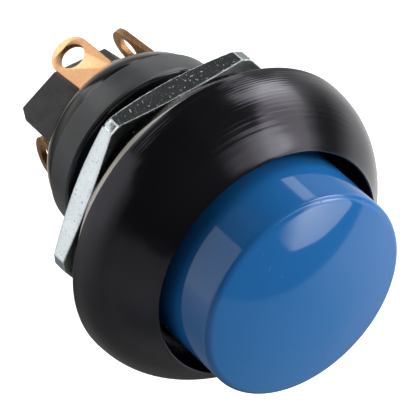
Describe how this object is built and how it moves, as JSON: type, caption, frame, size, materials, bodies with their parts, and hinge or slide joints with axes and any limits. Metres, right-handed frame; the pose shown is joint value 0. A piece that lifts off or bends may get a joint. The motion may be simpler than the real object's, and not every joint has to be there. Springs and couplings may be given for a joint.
{
  "type": "pushbutton switch",
  "caption": "Round panel pushbutton switch: raised domed blue button in a rounded black bezel, threaded bushing with hex nut, sealed body and flat solder lugs around a barrier block.",
  "frame": {"origin": "centre of the bezel's flat back face, where the switch meets the front of its panel", "axes": "+Z along the button's axis, out of the panel towards the finger; +X and +Y lie in the panel face, and the hex nut's flats face 2, 62 and 122 degrees from +X"},
  "size_m": [0.0248, 0.0248, 0.0293],
  "materials": {
    "anodised_black": "satin black anodised, fine turning marks",
    "nut_plating": "nickel plated, lightly worn",
    "cap_plastic": "glossy blue",
    "seal_rubber": "matte",
    "steel": "bright turned",
    "spring_steel": "drawn wire",
    "guide_plastic": "satin",
    "case_plastic": "glossy black",
    "base_plastic": "matte, slightly rough",
    "potting": "cured glossy resin",
    "lug_plating": "gold flash over brass, tarnished",
    "contact_silver": "silver",
    "carriage_plastic": "natural"
  },
  "bodies": {
    "housing": {"bezel_bushing": "anodised_black", "panel_seal": "seal_rubber", "hex_nut": "nut_plating", "guide_bushing": "guide_plastic", "shaft_seal": "seal_rubber", "seal_retainer": "steel", "switch_case": "case_plastic", "case_seal": "seal_rubber", "terminal_1": "lug_plating", "terminal_2": "lug_plating", "terminal_3": "lug_plating", "terminal_4": "lug_plating", "fixed_contact_1": "contact_silver", "fixed_contact_2": "contact_silver", "fixed_contact_3": "contact_silver", "fixed_contact_4": "contact_silver", "terminal_base": "base_plastic", "epoxy_seal": "potting"},
    "button": {"button_cap": "cap_plastic", "plunger": "steel", "retaining_ring": "spring_steel", "return_spring": "spring_steel"},
    "carriage": {"contact_carriage": "carriage_plastic", "contact_bridge_a": "lug_plating", "contact_bridge_b": "lug_plating", "moving_contacts_a": "contact_silver", "moving_contacts_b": "contact_silver", "contact_spring_a": "spring_steel", "contact_spring_b": "spring_steel", "overtravel_spring": "spring_steel", "carriage_spring": "spring_steel"}
  },
  "joints": [
    {"name": "button_press", "type": "slide", "parent": "housing", "child": "button", "axis": [0, 0, -1], "range_m": [0, 0.0022], "stiffness_N_per_m": 900, "deforming": ["return_spring"]},
    {"name": "carriage_slide", "type": "slide", "parent": "housing", "child": "carriage", "axis": [0, 0, -1], "range_m": [0, 0.0011], "deforming": ["overtravel_spring", "carriage_spring"]}
  ],
  "couplings": [
    {"joint": "carriage_slide", "follows": "button_press", "ratio": 0.5}
  ]
}
